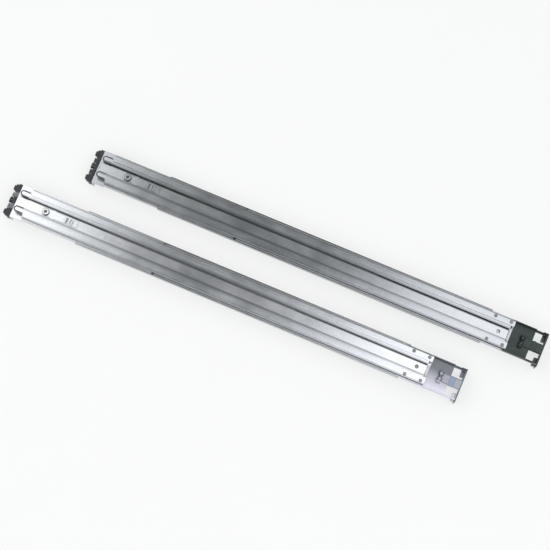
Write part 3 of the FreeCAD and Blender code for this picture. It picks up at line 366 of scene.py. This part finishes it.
# Each rail gets its own copy of each plated finish, and the far rail's copy carries painted shade.
for rail in RAILS:
    for slot, (light, dark, rough, tracks, soil) in PLATED.items():
        MATERIALS[f"{rail}_{slot}"] = plated_steel(
            f"{slot}_{rail}", rail_shaded(light, rail), rail_shaded(dark, rail), rough, tracks, soil,
            shaded_edges(rail) if slot == "zinc_steel" else ())
    MATERIALS[f"{rail}_soiled_steel"] = bore_shaded_steel(rail)
MATERIALS["left_rear_steel"] = left_rear_steel()
MATERIALS["right_rear_steel"] = right_rear_steel()
MATERIALS["right_pad_steel"] = right_pad_steel()
MATERIALS["left_pad_steel"] = MATERIALS["left_rear_steel"]


# Pieces that carry a look of their own within their slot.
LOOKS = {
    # The lip caps' dark nylon is painted shade round the lips' ends.
    "lip_caps": "dark_nylon", "stop_rivets": "dark_rivet",
    # The lever rivet's finish carries painted shade in its bore.
    "rear_latch": "{rail}_pad_steel", "rear_latch_pivot": "{rail}_rear_steel",
    "rear_latch_spring": "{rail}_rear_steel", "lock_lever_rivet": "{rail}_soiled_steel",
}


def material_of(node):
    rail, part = node.split("_", 1)
    if part in LOOKS:
        return MATERIALS[LOOKS[part].format(rail=rail)]
    return MATERIALS.get(f"{rail}_{slots[node]}") or MATERIALS[slots[node]]


for name, thing in nodes.items():
    thing.data.materials.clear()
    thing.data.materials.append(material_of(name))


# ---- pieces -------------------------------------------------------------

BREAK_SEGMENTS = 2
SHARP_ANGLE = math.radians(32)
FLAT_ANGLE = math.radians(0.4)


def into_scene(name, mesh):
    item = bpy.data.objects.new(name, mesh)
    bpy.context.scene.collection.objects.link(item)
    return item


def attach(item, node):
    """The piece rides with a CAD node's body and stands for it."""
    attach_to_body(item, body_of[node])
    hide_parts(node)


def joined_copy(node):
    """A node's mesh as one closed shell, with its flat faces whole again."""
    mesh = nodes[node].data.copy()
    item = into_scene("working", mesh)
    nothing = into_scene("nothing", bpy.data.meshes.new("nothing"))
    union = item.modifiers.new("Union", "BOOLEAN")
    union.operation = "UNION"
    union.solver = "EXACT"
    union.use_self = True
    union.object = nothing
    depsgraph = bpy.context.evaluated_depsgraph_get()
    depsgraph.update()
    result = bpy.data.meshes.new_from_object(item.evaluated_get(depsgraph))
    bpy.data.objects.remove(item)
    bpy.data.objects.remove(nothing)
    shell = bmesh.new()
    shell.from_mesh(result)
    bmesh.ops.dissolve_limit(shell, angle_limit=FLAT_ANGLE, verts=shell.verts,
                             edges=shell.edges)
    shell.to_mesh(result)
    shell.free()
    return result


def softened(node, edge):
    """A CAD piece with its sharp edges broken, as deburring or moulding leaves them."""
    mesh = joined_copy(node)
    mesh.materials.clear()
    mesh.materials.append(material_of(node))
    item = into_scene(f"{node}_finished", mesh)
    mesh.shade_smooth()
    bevel = item.modifiers.new("Edges", "BEVEL")
    bevel.width = edge
    bevel.segments = BREAK_SEGMENTS
    bevel.limit_method = "ANGLE"
    bevel.angle_limit = SHARP_ANGLE
    bevel.use_clamp_overlap = False
    weighted = item.modifiers.new("Normals", "WEIGHTED_NORMAL")
    weighted.mode = "FACE_AREA"
    weighted.weight = 100
    weighted.keep_sharp = False
    attach(item, node)


bodies = frame["record"]["behaviour"]["bodies"]
body_of = {node: body for body, members in bodies.items() for node in members}
EDGES = {
    "outer_member": 0.00018, "intermediate_member": 0.00015, "outer_channel": 0.00018,
    "front_bracket": 0.0002, "rear_bracket": 0.00018, "inner_ball_cage": 0.00008,
    "outer_ball_cage": 0.00008, "front_pin_block": 0.0005, "front_latch": 0.0002,
    "front_screw_insert": 0.0002, "rear_latch": 0.00015, "rear_nuts": 0.0003,
    "lock_lever": 0.0001, "lip_caps": 0.0004, "front_stops": 0.0003, "rear_stops": 0.0003,
    "rear_bumper": 0.0003, "bracket_rivets": 0.0001, "shoulder_rivets": 0.0001,
    "stop_rivets": 0.0001,
}
for rail in RAILS:
    for part, edge in EDGES.items():
        softened(f"{rail}_{part}", edge)


# A dark bead that wraps each rounded lip end of an intermediate member: painted shade along the
# lip's outline.
LIP_WIDTH, LIP_CORNER, LIP_SHEET = 0.0062, 0.003, 0.0012
EDGING_LENGTH, EDGING_RADIUS, EDGING_PROUD, EDGING_BITE = 0.0108, 0.00095, 0.0002, 0.0003
CORNER_STEPS = 6


def edging_path(start, outer, side):
    """Points along a lip end's outline, from its outer edge round to its inner edge."""
    inner = outer - LIP_WIDTH + EDGING_BITE
    outer = outer + EDGING_PROUD
    points = [(start + EDGING_LENGTH, outer)]
    for across, first in ((outer - LIP_CORNER, 90), (inner + LIP_CORNER, 180)):
        for step in range(CORNER_STEPS + 1):
            angle = math.radians(first + 90 * step / CORNER_STEPS)
            points.append((start + LIP_CORNER + LIP_CORNER * math.cos(angle),
                           across + LIP_CORNER * math.sin(angle)))
    points.append((start + EDGING_LENGTH, inner))
    return [(x, side * y) for x, y in points]


def lip_outline_shade(rail):
    """Two dark beads, one round each lip end, swept along the outline as painted shade."""
    node = f"{rail}_intermediate_member"
    low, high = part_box(node)
    centre = (low[1] + high[1]) / 2
    curve = bpy.data.curves.new("edging", "CURVE")
    curve.dimensions = "3D"
    curve.bevel_depth = EDGING_RADIUS
    curve.bevel_resolution = 3
    curve.use_fill_caps = True
    for side in (1, -1):
        path = edging_path(low[0] - EDGING_PROUD, high[1] - centre, side)
        strand = curve.splines.new("POLY")
        strand.points.add(len(path) - 1)
        for point, (x, y) in zip(strand.points, path):
            point.co = (x, centre + y, high[2] - LIP_SHEET / 2, 1)
    swept = bpy.data.objects.new("edging", curve)
    mesh = bpy.data.meshes.new_from_object(swept)
    bpy.data.objects.remove(swept)
    mesh.materials.clear()
    mesh.materials.append(MATERIALS["dark_nylon"])
    mesh.shade_smooth()
    item = into_scene(f"{rail}_lip_outline_shade", mesh)
    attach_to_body(item, body_of[node])


for rail in RAILS:
    lip_outline_shade(rail)


# ---- floor, light and camera --------------------------------------------

FLOOR_HALF, FLOOR_GAP = 6, 0.0002
SEEN_LIT, MIRRORED_LIT = 0.7, 0.5
LAMP_HEIGHT = 1.9


def floor():
    g = Graph("studio_floor")
    mottle = g.noise(9.0, 3.0, 0.5)
    g.join(g.blend(g.remap(mottle, 0, 1), (0.795, 0.795, 0.795), (0.81, 0.81, 0.81)),
           g.shader.inputs["Base Color"])
    g.shader.inputs["Roughness"].default_value = 0.9
    lit = g.add("ShaderNodeEmission")
    lit.inputs["Color"].default_value = (0.97, 0.97, 0.97, 1)
    seen = g.add("ShaderNodeLightPath")
    mix = g.add("ShaderNodeMixShader")
    share = g.math("ADD", g.math("MULTIPLY", seen.outputs["Is Camera Ray"], SEEN_LIT),
                   g.math("MULTIPLY", seen.outputs["Is Glossy Ray"], MIRRORED_LIT))
    g.join(share, mix.inputs["Fac"])
    g.join(g.shader.outputs["BSDF"], mix.inputs[1])
    g.join(lit.outputs["Emission"], mix.inputs[2])
    g.join(mix.outputs["Shader"], g.output.inputs["Surface"])
    mesh = bpy.data.meshes.new("floor")
    low = cad_box[0][2] - FLOOR_GAP
    corners = [(x * FLOOR_HALF, y * FLOOR_HALF, low) for x, y in
               ((-1, -1), (1, -1), (1, 1), (-1, 1))]
    mesh.from_pydata(corners, [], [(0, 1, 2, 3)])
    mesh.materials.append(g.material)
    item = bpy.data.objects.new("floor", mesh)
    bpy.context.scene.collection.objects.link(item)


def lamp_bank(name, at, size, power, colour, turn=0.0):
    """A wide bank that hangs level and shines straight down."""
    data = bpy.data.lights.new(name, "AREA")
    data.shape = "RECTANGLE"
    data.size, data.size_y = size
    data.energy = power
    data.color = colour
    item = bpy.data.objects.new(name, data)
    item.location = at
    item.rotation_euler = (0, 0, math.radians(turn))
    bpy.context.scene.collection.objects.link(item)


def room_light():
    """Pale walls near the horizon, a dim ceiling, and white where the camera sees it."""
    world = bpy.data.worlds.new("studio")
    bpy.context.scene.world = world
    world.use_nodes = True
    tree = world.node_tree
    tree.nodes.clear()
    output = tree.nodes.new("ShaderNodeOutputWorld")
    room = tree.nodes.new("ShaderNodeBackground")
    room.inputs["Color"].default_value = (0.93, 1.0, 0.98, 1)
    direction = tree.nodes.new("ShaderNodeTexCoord")
    height = tree.nodes.new("ShaderNodeSeparateXYZ")
    tree.links.new(direction.outputs["Generated"], height.inputs["Vector"])
    walls = tree.nodes.new("ShaderNodeMapRange")
    walls.interpolation_type = "SMOOTHSTEP"
    for key, value in (("From Min", 0.22), ("From Max", 0.62), ("To Min", 0.85),
                       ("To Max", 0.175)):
        walls.inputs[key].default_value = value
    tree.links.new(height.outputs["Z"], walls.inputs["Value"])
    tree.links.new(walls.outputs["Result"], room.inputs["Strength"])
    white = tree.nodes.new("ShaderNodeBackground")
    white.inputs["Strength"].default_value = 1.0
    seen = tree.nodes.new("ShaderNodeLightPath")
    mix = tree.nodes.new("ShaderNodeMixShader")
    tree.links.new(seen.outputs["Is Camera Ray"], mix.inputs["Fac"])
    tree.links.new(room.outputs["Background"], mix.inputs[1])
    tree.links.new(white.outputs["Background"], mix.inputs[2])
    tree.links.new(mix.outputs["Shader"], output.inputs["Surface"])


def camera():
    """High over the near rail, turned so that the rails slope as they do in the photo."""
    azimuth, elevation, roll = (math.radians(angle) for angle in (18.0, 80.0, 4.8049))
    distance = 2.5
    back = Vector((math.sin(azimuth) * math.cos(elevation),
                   -math.cos(azimuth) * math.cos(elevation), math.sin(elevation)))
    right = Vector((math.cos(azimuth), math.sin(azimuth), 0))
    up = back.cross(right)
    turned_right = math.cos(roll) * right + math.sin(roll) * up
    turned_up = math.cos(roll) * up - math.sin(roll) * right
    data = bpy.data.cameras.new("camera")
    data.sensor_width = 36.0
    data.lens = 133.4474
    data.clip_end = 50
    item = bpy.data.objects.new("camera", data)
    axes = Matrix((turned_right, turned_up, back)).transposed().to_4x4()
    target = Vector((0.00111, -0.0005, 0.015))
    item.matrix_world = Matrix.Translation(target + back * distance) @ axes
    bpy.context.scene.collection.objects.link(item)
    bpy.context.scene.camera = item


floor()
room_light()
lamp_bank("left_bank", (-1.72, 0.3, LAMP_HEIGHT), (2.42, 3.8), 50, (1, 1, 1))
lamp_bank("right_bank", (1.32, -0.49, LAMP_HEIGHT), (2.9, 3.8), 57, (0.965, 0.965, 1), -29)
camera()
bpy.context.scene.view_settings.view_transform = "Standard"

bpy.context.view_layer.update()
